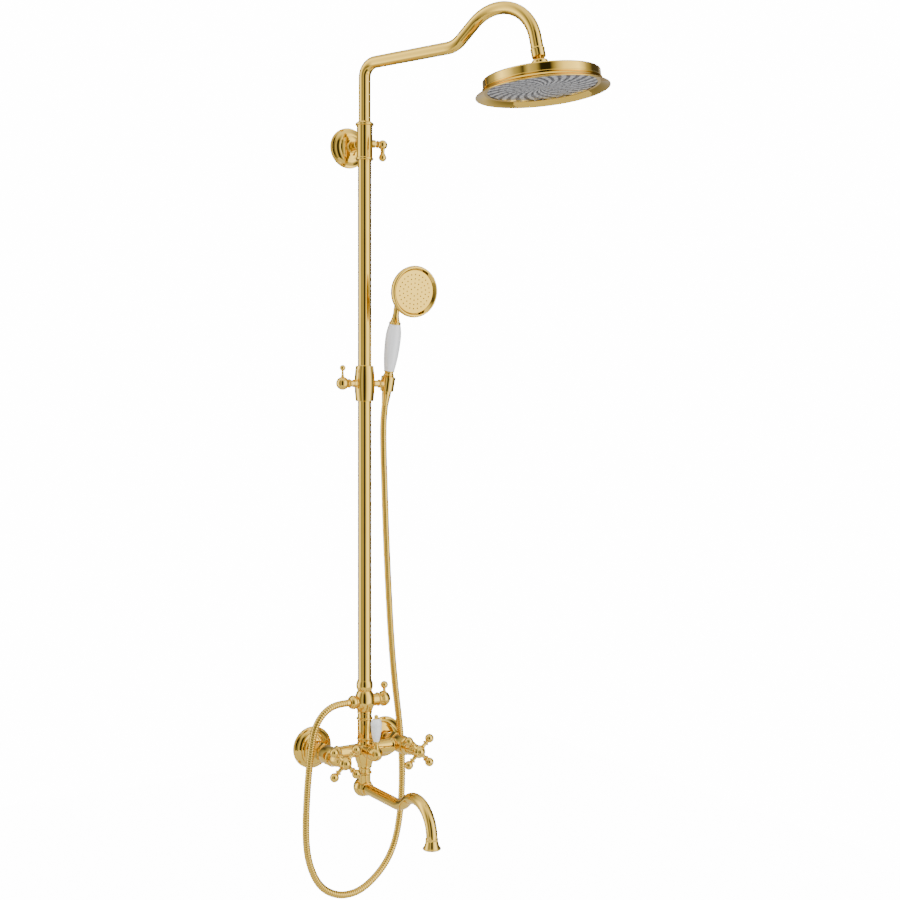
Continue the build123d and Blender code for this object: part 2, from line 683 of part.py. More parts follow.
# ---- slider on the lower tube, with its lock knob and the handset holder ----
SLIDER_HALF = 32.5
slider_right = station((0, COLUMN_Y, SLIDER_Z), RIGHT)
slider_left = station((0, COLUMN_Y, SLIDER_Z), LEFT)
with BuildPart() as slider_body:
    low, high = SLIDER_Z - SLIDER_HALF, SLIDER_Z + SLIDER_HALF
    add(turned(column, (low, 0), (low, 15.4), (low + 0.8, 16.2), ((SLIDER_Z, 18.6), (high - 0.8, 16.2)), (high, 15.4), (high, 0)))
    add(turned(slider_right, (14, 0), (14, 8), (19, 6.2), (28, 6.2), ((30.2, 8), (32.4, 6.6)), (32.4, 0)))
    add(turned(slider_left, (14, 0), (14, 8.6), (19, 7.2), (22.8, 7.2), (22.8, 0)))
    add(rod(column, low, high, 14), mode=Mode.SUBTRACT)
    add(rod(slider_left, 14, 22.8, SCREW_R + RUN_FIT), mode=Mode.SUBTRACT)
save(slider_body, "slider_body")

with BuildPart() as slider_bush:
    inner = LOWER_TUBE_R + RUN_FIT
    add(turned(column, (low + 1, inner), (low + 1, 13.9), (high - 1, 13.9), (high - 1, inner)))
save(slider_bush, "slider_bush")

LOCK_BALL = 45
with BuildPart() as slider_lock_knob:
    add(
        turned(
            slider_left,
            (14.4, 0), (14.4, SCREW_R), (23.2, SCREW_R), (23.2, 6.3), (30, 6.3), ((31.8, 8.4), (33.6, 6.3)),
            (LOCK_BALL - sqrt(12**2 - 6.3**2), 6.3), ((LOCK_BALL, 12), (LOCK_BALL + 12, 0)),
        )
    )
    pin = station((-LOCK_BALL, COLUMN_Y, SLIDER_Z), UP)
    add(turned(pin, (8, 0), (8, 4.4), ((14, 2.8), (23, 2.1)), (crown((23, 2.1), 33.5), (33.5, 0))))
save(slider_lock_knob, "slider_lock_knob")

lean = radians(HOLDER_LEAN)
handle_way = Vector(0, -sin(lean), cos(lean))
face_way = Vector(0, -cos(lean), -sin(lean))
holder_centre = Vector(HOLDER_X, COLUMN_Y, SLIDER_Z)
handset = station(holder_centre, handle_way)
CUP_HALF = 13.5
SLOT_WIDTH = 14.4

with BuildPart() as holder_cup:
    add(turned(handset, (-CUP_HALF, 0), (-CUP_HALF, 12), (-CUP_HALF + 1, 12.5), (CUP_HALF - 1, 13.5), (CUP_HALF, 13), (CUP_HALF, 0)))
    add(turned(slider_right, (32.7, 0), (32.7, 6.6), (38, 7.4), (38, 0)))
    add(
        turned(handset, (-CUP_HALF, 0), (-CUP_HALF, 10.3), (CUP_HALF, 11.4), (CUP_HALF, 0)),
        mode=Mode.SUBTRACT,
    )
    with BuildSketch(Plane(origin=holder_centre + Vector(10, 0, 0), x_dir=handle_way, z_dir=RIGHT)):
        Rectangle(3 * CUP_HALF, SLOT_WIDTH)
    extrude(amount=10, both=True, mode=Mode.SUBTRACT)
save(holder_cup, "holder_cup")


# ---- hand shower: tapered tail, china grip on a rod, curved neck and round rose ----
GRIP_LOW, GRIP_HIGH = 25, 112
ROD_R = 4.6
with BuildPart() as handset_tail:
    add(
        turned(
            handset,
            (-13, 5), (-13, 9.8), (13.4, 10.9), (14.4, 10.6), (15.4, 9), ((16.8, 9.9), (18.2, 9)), (19, 8.4),
            (22, 8.2), ((23.5, 9.8), (GRIP_LOW, 9.4)), (GRIP_LOW, ROD_R + 0.05), (14, ROD_R + 0.05), (14, 5),
        )
    )
save(handset_tail, "handset_tail")

with BuildPart() as handset_grip:
    add(
        turned(
            handset,
            (GRIP_LOW + 0.1, ROD_R + 0.1), (GRIP_LOW + 0.1, 9.6), ((50, 13), (79, 14.4)),
            ((99, 13.4), (GRIP_HIGH - 0.1, 10.7)), (GRIP_HIGH - 0.1, ROD_R + 0.1),
        )
    )
save(handset_grip, "handset_grip")

NECK_R = 5.8
NECK_BEND_START = 137.3
NECK_BEND_R = 40
NECK_BEND = 68
rose_centre = holder_centre + handle_way * 181.8 + face_way * 55.6
face_turn = radians(HANDSET_FACE_TURN)
rose_way = face_way * cos(face_turn) + handle_way * sin(face_turn)
rose = station(rose_centre, rose_way * -1)
neck_plane = Plane(origin=holder_centre, x_dir=handle_way, z_dir=handle_way.cross(face_way))

with BuildPart() as handset_neck:
    add(
        turned(
            handset,
            (20, 0), (20, ROD_R), (GRIP_HIGH, ROD_R), (GRIP_HIGH, 10.6), ((113.6, 11.3), (115.2, 10.4)),
            (115.8, 9.4), ((123, 7), (135, NECK_R)), (135, 0),
        )
    )
    with BuildLine(neck_plane) as neck_path:
        shank = Line((134, 0), (NECK_BEND_START, 0))
        bend = JernArc(shank @ 1, shank % 1, NECK_BEND_R, NECK_BEND)
        Line(bend @ 1, bend @ 1 + (bend % 1) * 13.5)
    with BuildSketch(Plane(origin=neck_path.line @ 0, z_dir=handle_way)):
        Circle(NECK_R)
    sweep(path=neck_path.line)
save(handset_neck, "handset_neck")

ROSE_PLATE_R = 38.2
with BuildPart() as handset_head:
    add(
        turned(
            rose,
            (-4.8, 41.2), ((-5.6, 43), (-4.4, 45)), ((-1.6, 46.2), (3, 46)), (6, 45.2),
            ((14.2, 35), (19, 17)), (crown((19, 17), 20.3), (20.3, 0)), (18.2, 0),
            (crown((17, 16), 18.2), (17, 16)), ((12.4, 32), (6, 41.6)), (3.4, ROSE_PLATE_R + 0.1),
            (0, ROSE_PLATE_R + 0.1), (-1, 38.4),
        )
    )
save(handset_head, "handset_head")

with BuildPart() as handset_face:
    add(rod(rose, 0, 3, ROSE_PLATE_R))
    face_plane = Plane(origin=rose_centre, x_dir=(1, 0, 0), z_dir=rose_way)
    with BuildSketch(face_plane):
        for ring in range(1, 5):
            with PolarLocations(7.6 * ring, 6 * ring, start_angle=90):
                Circle(1.2)
    extrude(amount=-3, mode=Mode.SUBTRACT)
save(handset_face, "handset_face")

NUT_END = 40  # where the hose leaves its cone nut, below the holder's centre
with BuildPart() as handset_hose_nut:
    add(turned(handset, (-13.3, 4.2), (-13.3, 8.2), (-14, 8.8), (-18, 8.8), (-NUT_END, HOSE_R), (-NUT_END, 4.2)))
save(handset_hose_nut, "handset_hose_nut")


# ---- flexible hose: from the diverter's outlet down in a loop and up to the handset ----
# Each point is (sideways, forward of the column, height); tangent arcs round every corner.
HOSE_ROUTE = [
    (-HOSE_START, 0, DIVERTER_Z),
    (-56, 0, 88),
    (-75, 0, 81.5),
    (-91, 0, 67.5),
    (-102, 0, 47),
    (-108, 0, 13),
    (-114.5, 0, -42),
    (-118.5, 0, -105),
    (-118, 0, -158),
    (-110, 0, -196),
    (-94, 0, -229),
    (-71, 0, -249.5),
    (-40, 0, -260),
    (0, -5, -257),
    (47, -16, -231),
    (77, -25, -195),
    (93, -31, -140),
    (100.5, -36.5, -75),
    (98.5, -38, 5),
    (73, -25.5, 142),
    (57, -17, 322),
    (50, -15, 472),
    (48.2, -17, 560),
    (HOLDER_X, -64 * sin(lean), SLIDER_Z - 64 * cos(lean)),
    (HOLDER_X, -NUT_END * sin(lean), SLIDER_Z - NUT_END * cos(lean)),
]
route = [Vector(x, COLUMN_Y - forward, z) for x, forward, z in HOSE_ROUTE]
radii = []
for before, corner, after in zip(route, route[1:], route[2:]):
    half_turn = radians((corner - before).get_angle(after - corner) / 2)
    shorter = min((corner - before).length, (after - corner).length)
    radii.append(0.45 * shorter / tan(half_turn))
with BuildPart() as shower_hose:
    with BuildLine() as hose_path:
        FilletPolyline(*route, radius=radii)
    with BuildSketch(Plane(origin=route[0], z_dir=route[1] - route[0])):
        Circle(HOSE_R)
    sweep(path=hose_path.line)
save(shower_hose, "shower_hose")
hose_length = hose_path.wires()[0].length
print("hose radii", [round(r) for r in radii])
print("hose length", round(hose_length, 1))
print("volume over section times length", round(shower_hose.part.volume / (hose_length * 3.14159 * HOSE_R**2), 4))
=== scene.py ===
"""Exposed brass shower column with a two-handle bath mixer, rain head and hand shower, in metres."""
import json
from math import cos, pi, radians, sin

import bmesh
import bpy
from mathutils import Matrix, Vector


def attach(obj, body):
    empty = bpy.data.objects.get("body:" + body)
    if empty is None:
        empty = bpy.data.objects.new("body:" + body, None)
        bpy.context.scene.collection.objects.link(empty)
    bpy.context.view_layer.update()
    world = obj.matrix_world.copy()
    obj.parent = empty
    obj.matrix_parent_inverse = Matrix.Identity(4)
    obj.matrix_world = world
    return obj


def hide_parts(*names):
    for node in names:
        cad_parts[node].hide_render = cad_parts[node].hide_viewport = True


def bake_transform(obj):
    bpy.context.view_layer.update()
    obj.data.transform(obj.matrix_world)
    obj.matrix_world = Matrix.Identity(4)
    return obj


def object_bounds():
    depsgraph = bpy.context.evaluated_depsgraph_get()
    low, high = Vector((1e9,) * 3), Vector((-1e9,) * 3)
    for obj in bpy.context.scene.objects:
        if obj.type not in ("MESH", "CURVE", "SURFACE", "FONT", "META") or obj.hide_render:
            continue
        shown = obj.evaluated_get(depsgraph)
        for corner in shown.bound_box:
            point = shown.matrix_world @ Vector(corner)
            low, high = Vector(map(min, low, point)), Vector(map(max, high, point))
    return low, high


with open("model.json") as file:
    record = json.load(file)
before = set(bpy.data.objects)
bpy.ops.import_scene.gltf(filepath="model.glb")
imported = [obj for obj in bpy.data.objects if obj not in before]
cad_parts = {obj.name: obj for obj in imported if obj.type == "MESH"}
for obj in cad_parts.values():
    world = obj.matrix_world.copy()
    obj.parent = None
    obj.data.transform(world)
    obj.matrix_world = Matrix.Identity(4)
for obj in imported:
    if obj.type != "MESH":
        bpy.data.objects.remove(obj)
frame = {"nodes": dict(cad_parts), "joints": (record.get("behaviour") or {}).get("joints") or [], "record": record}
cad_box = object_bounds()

scene = bpy.context.scene
nodes = frame["nodes"]


# ---- camera ----
# It stands a little to the left of the column, level with the middle of the riser.
camera_data = bpy.data.cameras.new("camera")
camera_data.lens = 53.7
camera_data.sensor_width = 36
camera_data.shift_y = -0.0556
camera_data.clip_end = 50
camera = bpy.data.objects.new("camera", camera_data)
camera.location = (-1.166, -2.225, 0.637)
camera.rotation_euler = (radians(90), 0, radians(-32))
scene.collection.objects.link(camera)
scene.camera = camera


# ---- polished brass ----
# Every visible fitting is brass, turned or cast, then polished and plated a warm gold. The plating
# keeps faint polishing lines, a few smears and slightly deeper colour where it lies thicker.
def plating_marks():
    """A node group: slow colour drift, smeared roughness and very fine polishing lines."""
    group = bpy.data.node_groups.new("plating_marks", "ShaderNodeTree")
    face = group.interface
    for name, kind, value in (
        ("Tint", "NodeSocketColor", (0.8, 0.5, 0.2, 1)),
        ("Deep Tint", "NodeSocketColor", (0.7, 0.4, 0.12, 1)),
        ("Smoothest", "NodeSocketFloat", 0.06),
        ("Roughest", "NodeSocketFloat", 0.2),
        ("Line Scale", "NodeSocketFloat", 900.0),
    ):
        socket = face.new_socket(name=name, in_out="INPUT", socket_type=kind)
        socket.default_value = value
    face.new_socket(name="Color", in_out="OUTPUT", socket_type="NodeSocketColor")
    face.new_socket(name="Roughness", in_out="OUTPUT", socket_type="NodeSocketFloat")
    face.new_socket(name="Height", in_out="OUTPUT", socket_type="NodeSocketFloat")
    tree = group.nodes
    given = tree.new("NodeGroupInput")
    result = tree.new("NodeGroupOutput")
    place = tree.new("ShaderNodeTexCoord")
    drift = tree.new("ShaderNodeTexNoise")
    drift.inputs["Scale"].default_value = 14
    drift.inputs["Detail"].default_value = 3
    smear = tree.new("ShaderNodeTexNoise")
    smear.inputs["Scale"].default_value = 55
    smear.inputs["Detail"].default_value = 5
    smear.inputs["Distortion"].default_value = 0.6
    lines = tree.new("ShaderNodeTexNoise")
    lines.inputs["Detail"].default_value = 2
    squeeze = tree.new("ShaderNodeMapping")
    squeeze.inputs["Scale"].default_value = (0.12, 0.12, 1)
    tint = tree.new("ShaderNodeMix")
    tint.data_type = "RGBA"
    rough = tree.new("ShaderNodeMapRange")
    rough.inputs["From Min"].default_value = 0.35
    rough.inputs["From Max"].default_value = 0.75
    link = group.links.new
    for noise in (drift, smear):
        link(place.outputs["Object"], noise.inputs["Vector"])
    link(place.outputs["Object"], squeeze.inputs["Vector"])
    link(squeeze.outputs["Vector"], lines.inputs["Vector"])
    link(given.outputs["Line Scale"], lines.inputs["Scale"])
    link(drift.outputs["Fac"], tint.inputs["Factor"])
    link(given.outputs["Tint"], tint.inputs["A"])
    link(given.outputs["Deep Tint"], tint.inputs["B"])
    link(smear.outputs["Fac"], rough.inputs["Value"])
    link(given.outputs["Smoothest"], rough.inputs["To Min"])
    link(given.outputs["Roughest"], rough.inputs["To Max"])
    link(tint.outputs["Result"], result.inputs["Color"])
    link(rough.outputs["Result"], result.inputs["Roughness"])
    link(lines.outputs["Fac"], result.inputs["Height"])
    return group


marks = plating_marks()


def metal(name, tint, deep_tint, smoothest, roughest, line_depth):
    """A metal with the plating marks: the tints, the range of its roughness and how deep its lines are."""
    material = bpy.data.materials.new(name)
    material.use_nodes = True
    tree = material.node_tree
    shader = tree.nodes["Principled BSDF"]
    shader.inputs["Metallic"].default_value = 1
    finish = tree.nodes.new("ShaderNodeGroup")
    finish.node_tree = marks
    finish.inputs["Tint"].default_value = (*tint, 1)
    finish.inputs["Deep Tint"].default_value = (*deep_tint, 1)
    finish.inputs["Smoothest"].default_value = smoothest
    finish.inputs["Roughest"].default_value = roughest
    bump = tree.nodes.new("ShaderNodeBump")
    bump.inputs["Strength"].default_value = line_depth
    bump.inputs["Distance"].default_value = 0.0002
    tree.links.new(finish.outputs["Color"], shader.inputs["Base Color"])
    tree.links.new(finish.outputs["Roughness"], shader.inputs["Roughness"])
    tree.links.new(finish.outputs["Height"], bump.inputs["Height"])
    tree.links.new(bump.outputs["Normal"], shader.inputs["Normal"])
    return material


polished_gold = metal("polished_gold", (0.87, 0.59, 0.11), (0.78, 0.49, 0.07), 0.045, 0.09, 0.01)
machined_brass = metal("machined_brass", (0.7, 0.54, 0.28), (0.58, 0.42, 0.2), 0.22, 0.4, 0.3)
satin_steel = metal("satin_steel", (0.78, 0.78, 0.78), (0.64, 0.64, 0.65), 0.16, 0.28, 0.1)
plain_steel = metal("plain_steel", (0.55, 0.55, 0.55), (0.42, 0.42, 0.43), 0.3, 0.5, 0.3)


# ---- china, rubber and plastic ----
# The grips are fired white china under a clear glaze, with the slightest unevenness in it. The seals
# are black rubber and the bearings a slippery off-white plastic.
def moulded(name, tint, deep_tint, roughness, coat, grain_scale, grain_depth):
    """A non-metal with a slow tint drift and a fine grain."""
    material = bpy.data.materials.new(name)
    material.use_nodes = True
    tree = material.node_tree
    shader = tree.nodes["Principled BSDF"]
    shader.inputs["Coat Weight"].default_value = coat
    shader.inputs["Coat Roughness"].default_value = 0.03
    place = tree.nodes.new("ShaderNodeTexCoord")
    drift = tree.nodes.new("ShaderNodeTexNoise")
    drift.inputs["Scale"].default_value = 30
    grain = tree.nodes.new("ShaderNodeTexNoise")
    grain.inputs["Scale"].default_value = grain_scale
    tint_mix = tree.nodes.new("ShaderNodeMix")
    tint_mix.data_type = "RGBA"
    tint_mix.inputs["A"].default_value = (*tint, 1)
    tint_mix.inputs["B"].default_value = (*deep_tint, 1)
    rough = tree.nodes.new("ShaderNodeMapRange")
    rough.inputs["To Min"].default_value = roughness * 0.75
    rough.inputs["To Max"].default_value = roughness * 1.25
    bump = tree.nodes.new("ShaderNodeBump")
    bump.inputs["Strength"].default_value = grain_depth
    bump.inputs["Distance"].default_value = 0.0005
    link = tree.links.new
    link(place.outputs["Object"], drift.inputs["Vector"])
    link(place.outputs["Object"], grain.inputs["Vector"])
    link(drift.outputs["Fac"], tint_mix.inputs["Factor"])
    link(drift.outputs["Fac"], rough.inputs["Value"])
    link(tint_mix.outputs["Result"], shader.inputs["Base Color"])
    link(rough.outputs["Result"], shader.inputs["Roughness"])
    link(grain.outputs["Fac"], bump.inputs["Height"])
    link(bump.outputs["Normal"], shader.inputs["Normal"])
    return material


glazed_china = moulded("glazed_china", (0.88, 0.89, 0.9), (0.82, 0.83, 0.85), 0.14, 0.8, 60, 0.05)
seal_rubber = moulded("seal_rubber", (0.02, 0.02, 0.02), (0.04, 0.04, 0.04), 0.6, 0, 1500, 0.3)
bearing_plastic = moulded("bearing_plastic", (0.8, 0.8, 0.76), (0.72, 0.72, 0.68), 0.4, 0, 900, 0.15)
nozzle_rubber = moulded("nozzle_rubber", (0.3, 0.3, 0.31), (0.22, 0.22, 0.23), 0.5, 0, 1200, 0.2)

finishes = {
    "gold": polished_gold,
    "raw_brass": machined_brass,
    "china": glazed_china,
    "nozzle_steel": satin_steel,
    "plate_steel": plain_steel,
    "seal_rubber": seal_rubber,
    "bearing_plastic": bearing_plastic,
    "hose_skin": polished_gold,
}
for part in frame["record"]["subparts"]:
    node = nodes[part["node"]]
    node.data.materials.clear()
    node.data.materials.append(finishes[part["material_slot"]])


# ---- flexible hose ----
# A double-interlock hose: a brass strip wound in a close spiral, plated gold, over a rubber tube. It
# leaves the diverter's outlet to the left, hangs in a loop and rises in front of the mixer's inlet.
HOSE_RADIUS = 0.0065
COLUMN_Y = -0.065
HOLDER = Vector((0.048, COLUMN_Y, 0.667))
LEAN = radians(14)
handle_way = Vector((0, -sin(LEAN), cos(LEAN)))
hose_top = HOLDER - handle_way * 0.040
hose_lead = HOLDER - handle_way * 0.064
HOSE_ROUTE = [
    (-0.038, 0, 0.088),
    (-0.056, 0, 0.088),
    (-0.075, 0, 0.0815),
    (-0.091, 0, 0.0675),
    (-0.102, 0, 0.047),
    (-0.108, 0, 0.013),
    (-0.1145, 0, -0.042),
    (-0.1185, 0, -0.105),
    (-0.118, 0, -0.158),
    (-0.110, 0, -0.196),
    (-0.094, 0, -0.229),
    (-0.071, 0, -0.2495),
    (-0.040, 0, -0.260),
    (0, -0.005, -0.257),
    (0.047, -0.016, -0.231),
    (0.077, -0.025, -0.195),
    (0.093, -0.031, -0.140),
    (0.1005, -0.0365, -0.075),
    (0.0985, -0.038, 0.005),
    (0.073, -0.0255, 0.142),
    (0.057, -0.017, 0.322),
    (0.050, -0.015, 0.472),
    (0.0482, -0.017, 0.560),
]
route = [Vector((x, COLUMN_Y - forward, z)) for x, forward, z in HOSE_ROUTE] + [hose_lead, hose_top]


def nurbs_points(points, resolution):
    """Points read from one smooth NURBS line that has the given points as its controls."""
    curve = bpy.data.curves.new("route", "CURVE")
    curve.dimensions = "3D"
    curve.resolution_u = resolution
    spline = curve.splines.new("NURBS")
    spline.points.add(len(points) - 1)
    for control, point in zip(spline.points, points):
        control.co = (*point, 1)
    spline.order_u = 3
    spline.use_endpoint_u = True
    holder = bpy.data.objects.new("route", curve)
    line = bpy.data.meshes.new_from_object(holder)
    found = [vertex.co.copy() for vertex in line.vertices]
    bpy.data.objects.remove(holder)
    bpy.data.curves.remove(curve)
    bpy.data.meshes.remove(line)
    return found


def even_points(points, step):
    """The same line, divided into equal short steps."""
    even, left = [points[0]], step
    for a, b in zip(points, points[1:]):
        run = (b - a).length
        while run > left:
            even.append(a.lerp(b, left / run))
            left += step
        left -= run
    even.append(points[-1])
    return even


def wound_tube(name, line, radius, pitch, groove, sides=20):
    """A tube along the line whose radius dips between the turns of the wound strip."""
    bm = bmesh.new()
    uv_layer = bm.loops.layers.uv.new("along")
    heading = (line[1] - line[0]).normalized()
    side = heading.orthogonal().normalized()
    rings, travelled = [], 0
    for n, point in enumerate(line):
        before, after = line[max(n - 1, 0)], line[min(n + 1, len(line) - 1)]
        turned = (after - before).normalized()
        side = heading.rotation_difference(turned) @ side
        heading = turned
        other = heading.cross(side)
        travelled += (point - before).length
        dip = abs(cos(pi * travelled / pitch)) ** 5 * groove
        ring = []
        for k in range(sides):
            angle = 2 * pi * k / sides
            ring.append(bm.verts.new(point + (side * cos(angle) + other * sin(angle)) * (radius - dip)))
        rings.append((ring, travelled))
    for (low, v0), (high, v1) in zip(rings, rings[1:]):
        for k in range(sides):
            j = (k + 1) % sides
            face = bm.faces.new((low[k], low[j], high[j], high[k]))
            face.smooth = True
            for loop, uv in zip(face.loops, ((k, v0), (k + 1, v0), (k + 1, v1), (k, v1))):
                loop[uv_layer].uv = (uv[0] / sides, uv[1] / pitch)
    bm.faces.new(reversed(rings[0][0]))
    bm.faces.new(rings[-1][0])
    mesh = bpy.data.meshes.new(name)
    bm.to_mesh(mesh)
    bm.free()
    piece = bpy.data.objects.new(name, mesh)
    scene.collection.objects.link(piece)
    return piece


def wound_strip():
    """Gold strip with painted shade in the seam between the turns, where its colour darkens to a deep brown; the
    seam is also rougher.
    """
    material = polished_gold.copy()
    material.name = "wound_strip"
    tree = material.node_tree
    shader = tree.nodes["Principled BSDF"]
    finish = next(n for n in tree.nodes if n.type == "GROUP")
    uv = tree.nodes.new("ShaderNodeUVMap")
    uv.uv_map = "along"
    split = tree.nodes.new("ShaderNodeSeparateXYZ")
    turn = tree.nodes.new("ShaderNodeMath")
    turn.operation = "FRACT"
    seam = tree.nodes.new("ShaderNodeValToRGB")
    seam.color_ramp.elements[0].position = 0.0
    seam.color_ramp.elements[0].color = (1, 1, 1, 1)
    seam.color_ramp.elements[1].position = 0.16
    seam.color_ramp.elements[1].color = (0, 0, 0, 1)
    far_side = seam.color_ramp.elements.new(0.84)
    far_side.color = (0, 0, 0, 1)
    last = seam.color_ramp.elements.new(1.0)
    last.color = (1, 1, 1, 1)
    # Painted shade: the seam's colour is mixed towards a deep brown, standing in for the shadow in the groove
    # between the turns.
    painted_seam_shade = tree.nodes.new("ShaderNodeMix")
    painted_seam_shade.data_type = "RGBA"
    painted_seam_shade.inputs["B"].default_value = (0.16, 0.08, 0.025, 1)
    rougher = tree.nodes.new("ShaderNodeMath")
    rougher.operation = "MULTIPLY_ADD"
    rougher.inputs[1].default_value = 0.3
    link = tree.links.new
    link(uv.outputs["UV"], split.inputs["Vector"])
    link(split.outputs["Y"], turn.inputs[0])
    link(turn.outputs[0], seam.inputs["Fac"])
    link(seam.outputs["Color"], painted_seam_shade.inputs["Factor"])
    link(finish.outputs["Color"], painted_seam_shade.inputs["A"])
    link(painted_seam_shade.outputs["Result"], shader.inputs["Base Color"])
    link(seam.outputs["Color"], rougher.inputs[0])
    link(finish.outputs["Roughness"], rougher.inputs[2])
    link(rougher.outputs[0], shader.inputs["Roughness"])
    return material


hose_line = nurbs_points(route, 30)
STRIP_PITCH = 0.0042
hose = wound_tube("hose", even_points(hose_line, STRIP_PITCH / 4), HOSE_RADIUS, STRIP_PITCH, 0.0006)
hose_skin = wound_strip()
hose.data.materials.append(hose_skin)
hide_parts("shower_hose")
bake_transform(hose)

# The hose's last stretch runs on inside the cone nut, and shows when the handset is lifted out.
inner_end = HOLDER + handle_way * 0.006
inner_line = even_points([hose_top - handle_way * 0.001, inner_end], STRIP_PITCH / 4)
hose_end = wound_tube("hose_end", inner_line, 0.006, STRIP_PITCH, 0.0006)
hose_end.data.materials.append(hose_skin)
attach(hose_end, "holder")


# ---- rain head nozzles ----
# Soft rubber nozzles pressed through the steel plate in rings, so that scale can be rubbed off them.
ball = Vector(next(j for j in frame["joints"] if j["name"] == "head_roll")["pos_m"])
SWING = radians(22)
outward = Vector((sin(SWING), -cos(SWING), 0))
sideways = Vector((cos(SWING), sin(SWING), 0))
LEAN_OUT, LEAN_SIDE = 0.0769, 0.0559
spray = (Vector((0, 0, -1)) + outward * LEAN_OUT + sideways * LEAN_SIDE).normalized()
PLATE_FACE = 0.0416


def nozzle_field(name, centre, facing, counts, spacing, height, radius, body):
    """Rings of small tapered nozzles with open mouths, standing on a face."""
    bm = bmesh.new()
    turn = facing.to_track_quat("Z", "Y").to_matrix().to_4x4()
    for ring, count in enumerate(counts, start=1):
        for k in range(count):
            angle = 2 * pi * (k + 0.5 * (ring % 2)) / count
            spot = Vector((cos(angle), sin(angle), 0)) * spacing * ring
            place = Matrix.Translation(centre) @ turn @ Matrix.Translation(spot)
            rim = bmesh.ops.create_circle(bm, segments=10, radius=radius, cap_ends=True, matrix=place)["verts"]
            cap = rim[0].link_faces[0]
            taper = (
                (0.0003, height * 0.55), (0.0003, height * 0.45),
                (radius * 0.3, 0), (0.00005, -height * 0.5),
            )
            for inset, rise in taper:
                bmesh.ops.inset_region(bm, faces=[cap], thickness=inset, depth=0)
                bmesh.ops.translate(bm, verts=cap.verts, vec=facing * rise)
    bmesh.ops.recalc_face_normals(bm, faces=bm.faces)
    for face in bm.faces:
        face.smooth = True
    mesh = bpy.data.meshes.new(name)
    bm.to_mesh(mesh)
    bm.free()
    mesh.materials.append(nozzle_rubber)
    piece = bpy.data.objects.new(name, mesh)
    scene.collection.objects.link(piece)
    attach(piece, body)
    return piece


plate_centre = ball + spray * PLATE_FACE
NOZZLE_RINGS = [6, 12, 18, 24, 30, 36, 42]
nozzle_field("rain_nozzles", plate_centre, spray, NOZZLE_RINGS, 0.0122, 0.004, 0.0022, "rain_head")


# The steel plate between the nozzles is pressed into a swirl of slanted facets and polished, with painted
# reflections: its colour swings from near white to near black across the facets.
FACETS = 26
FACET_SLANT = 240


def swirl_steel_painted_reflections(centre, facing):
    """Steel whose facets run outwards in a slanted swirl about the plate's axis, with painted reflection streaks
    that swing its colour from near white to near black across them.
    """
    material = satin_steel.copy()
    material.name = "swirl_steel_painted_reflections"
    tree = material.node_tree
    shader = tree.nodes["Principled BSDF"]
    bump = next(n for n in tree.nodes if n.type == "BUMP")
    place = tree.nodes.new("ShaderNodeTexCoord")
    centred = tree.nodes.new("ShaderNodeVectorMath")
    centred.operation = "SUBTRACT"
    centred.inputs[1].default_value = centre
    level = tree.nodes.new("ShaderNodeVectorRotate")
    level.rotation_type = "EULER_XYZ"
    level.inputs["Rotation"].default_value = facing.rotation_difference(Vector((0, 0, -1))).to_euler()
    apart = tree.nodes.new("ShaderNodeSeparateXYZ")
    bearing = tree.nodes.new("ShaderNodeMath")
    bearing.operation = "ARCTAN2"
    radius = tree.nodes.new("ShaderNodeVectorMath")
    radius.operation = "LENGTH"
    facets = tree.nodes.new("ShaderNodeMath")
    facets.operation = "MULTIPLY_ADD"
    facets.inputs[1].default_value = FACETS
    slant = tree.nodes.new("ShaderNodeMath")
    slant.operation = "MULTIPLY"
    slant.inputs[1].default_value = FACET_SLANT
    wave = tree.nodes.new("ShaderNodeMath")
    wave.operation = "SINE"
    shade = tree.nodes.new("ShaderNodeMapRange")
    shade.inputs["From Min"].default_value = -0.5
    shade.inputs["From Max"].default_value = 0.5
    # Painted reflections: the base colour runs from near white to near black along the slanted facets.
    painted_reflection_tint = tree.nodes.new("ShaderNodeMix")
    painted_reflection_tint.data_type = "RGBA"
    painted_reflection_tint.inputs["A"].default_value = (0.96, 0.96, 0.98, 1)
    painted_reflection_tint.inputs["B"].default_value = (0.08, 0.08, 0.1, 1)
    link = tree.links.new
    link(place.outputs["Object"], centred.inputs[0])
    link(centred.outputs["Vector"], level.inputs["Vector"])
    link(level.outputs["Vector"], apart.inputs["Vector"])
    link(apart.outputs["Y"], bearing.inputs[0])
    link(apart.outputs["X"], bearing.inputs[1])
    link(centred.outputs["Vector"], radius.inputs[0])
    link(radius.outputs["Value"], slant.inputs[0])
    link(bearing.outputs[0], facets.inputs[0])
    link(slant.outputs[0], facets.inputs[2])
    link(facets.outputs[0], wave.inputs[0])
    link(wave.outputs[0], shade.inputs["Value"])
    link(shade.outputs["Result"], painted_reflection_tint.inputs["Factor"])
    link(painted_reflection_tint.outputs["Result"], shader.inputs["Base Color"])
    link(wave.outputs[0], bump.inputs["Height"])
    return material


plate = nodes["nozzle_plate"]
plate.data.materials.clear()
plate.data.materials.append(swirl_steel_painted_reflections(plate_centre, spray))


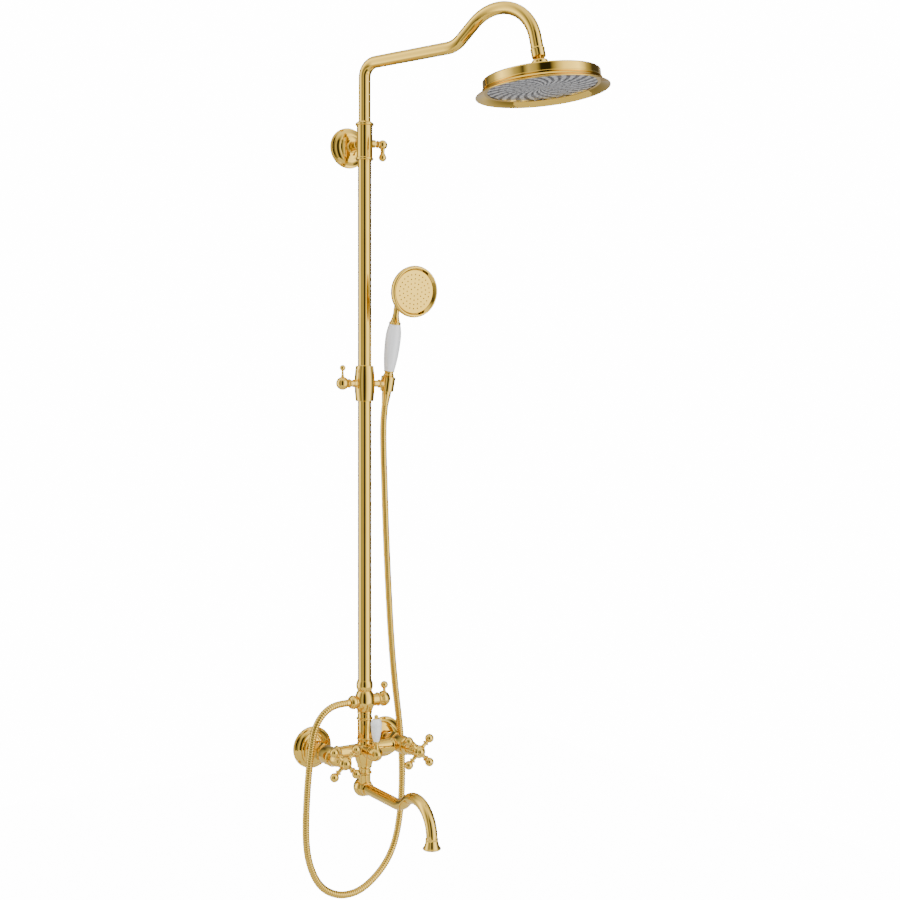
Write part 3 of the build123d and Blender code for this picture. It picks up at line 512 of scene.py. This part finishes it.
# ---- floor and studio light ----
# A plain pale floor well below the hose, a white light tent with darker gaps that give the polished
# metal its stripes, and two soft boxes.
BACKDROP = 14
floor_bm = bmesh.new()
bmesh.ops.create_grid(floor_bm, x_segments=1, y_segments=1, size=1.3)
bmesh.ops.translate(floor_bm, verts=floor_bm.verts, vec=(0, 0, cad_box[0][2] - 0.14))
floor_mesh = bpy.data.meshes.new("floor")
floor_bm.to_mesh(floor_mesh)
floor_bm.free()
floor = bpy.data.objects.new("floor", floor_mesh)
scene.collection.objects.link(floor)
pale = bpy.data.materials.new("pale_floor")
pale.use_nodes = True
pale_shader = pale.node_tree.nodes["Principled BSDF"]
pale_shader.inputs["Base Color"].default_value = (0.7, 0.7, 0.7, 1)
pale_shader.inputs["Emission Color"].default_value = (1, 1, 1, 1)
glow = pale.node_tree.nodes.new("ShaderNodeMath")
glow.operation = "MULTIPLY"
glow.inputs[1].default_value = BACKDROP
straight = pale.node_tree.nodes.new("ShaderNodeLightPath")
pale.node_tree.links.new(straight.outputs["Is Camera Ray"], glow.inputs[0])
pale.node_tree.links.new(glow.outputs[0], pale_shader.inputs["Emission Strength"])
pale_shader.inputs["Roughness"].default_value = 0.9
floor_mesh.materials.append(pale)

world = bpy.data.worlds.new("light_tent")
scene.world = world
world.use_nodes = True
sky = world.node_tree
background = sky.nodes["Background"]
direction = sky.nodes.new("ShaderNodeTexCoord")
parts = sky.nodes.new("ShaderNodeSeparateXYZ")
around = sky.nodes.new("ShaderNodeMath")
around.operation = "ARCTAN2"
share = sky.nodes.new("ShaderNodeMapRange")
share.inputs["From Min"].default_value = -pi
share.inputs["From Max"].default_value = pi
tent = sky.nodes.new("ShaderNodeValToRGB")
bands = [
    (0.0, 0.7), (0.03, 0.4), (0.05, 0.08), (0.08, 0.9), (0.12, 0.6), (0.145, 0.03), (0.195, 0.03), (0.22, 0.6),
    (0.27, 2.0), (0.36, 2.8), (0.42, 0.6), (0.47, 0.08), (0.54, 0.08), (0.6, 0.7), (0.68, 0.3), (0.78, 0.08),
    (0.86, 0.7), (0.92, 2.8), (1.0, 0.7),
]
while len(tent.color_ramp.elements) > 1:
    tent.color_ramp.elements.remove(tent.color_ramp.elements[-1])
tent.color_ramp.elements[0].position = bands[0][0]
tent.color_ramp.elements[0].color = (bands[0][1],) * 3 + (1,)
for position, level in bands[1:]:
    stop = tent.color_ramp.elements.new(position)
    stop.color = (level, level, level, 1)
steep = sky.nodes.new("ShaderNodeMath")
steep.operation = "ABSOLUTE"
fade = sky.nodes.new("ShaderNodeMapRange")
fade.inputs["From Min"].default_value = 0.55
fade.inputs["From Max"].default_value = 0.95
ends = sky.nodes.new("ShaderNodeMix")
ends.data_type = "RGBA"
height = sky.nodes.new("ShaderNodeMapRange")
height.inputs["From Min"].default_value = -1
height.inputs["To Min"].default_value = 0.15
height.inputs["To Max"].default_value = 1.5
seen = sky.nodes.new("ShaderNodeLightPath")
choose = sky.nodes.new("ShaderNodeMix")
choose.data_type = "RGBA"
choose.inputs["B"].default_value = (BACKDROP, BACKDROP, BACKDROP, 1)
link = sky.links.new
link(direction.outputs["Generated"], parts.inputs["Vector"])
link(parts.outputs["Y"], around.inputs[0])
link(parts.outputs["X"], around.inputs[1])
link(around.outputs[0], share.inputs["Value"])
link(share.outputs["Result"], tent.inputs["Fac"])
link(parts.outputs["Z"], steep.inputs[0])
link(steep.outputs[0], fade.inputs["Value"])
link(fade.outputs["Result"], ends.inputs["Factor"])
link(parts.outputs["Z"], height.inputs["Value"])
link(height.outputs["Result"], ends.inputs["B"])
link(tent.outputs["Color"], ends.inputs["A"])
link(ends.outputs["Result"], choose.inputs["A"])
link(seen.outputs["Is Camera Ray"], choose.inputs["Factor"])
link(choose.outputs["Result"], background.inputs["Color"])
background.inputs["Strength"].default_value = 1.1

for name, place, size, power in (
    ("soft_box_left", (-2.2, -1.6, 1.6), 1.4, 45),
    ("soft_box_right", (1.8, -2.4, 1.2), 1.2, 30),
):
    light_data = bpy.data.lights.new(name, "AREA")
    light_data.size = size
    light_data.energy = power
    light = bpy.data.objects.new(name, light_data)
    light.location = place
    light.visible_glossy = False
    light.rotation_euler = (Vector((0.05, -0.2, 0.5)) - Vector(place)).to_track_quat("-Z", "Y").to_euler()
    scene.collection.objects.link(light)
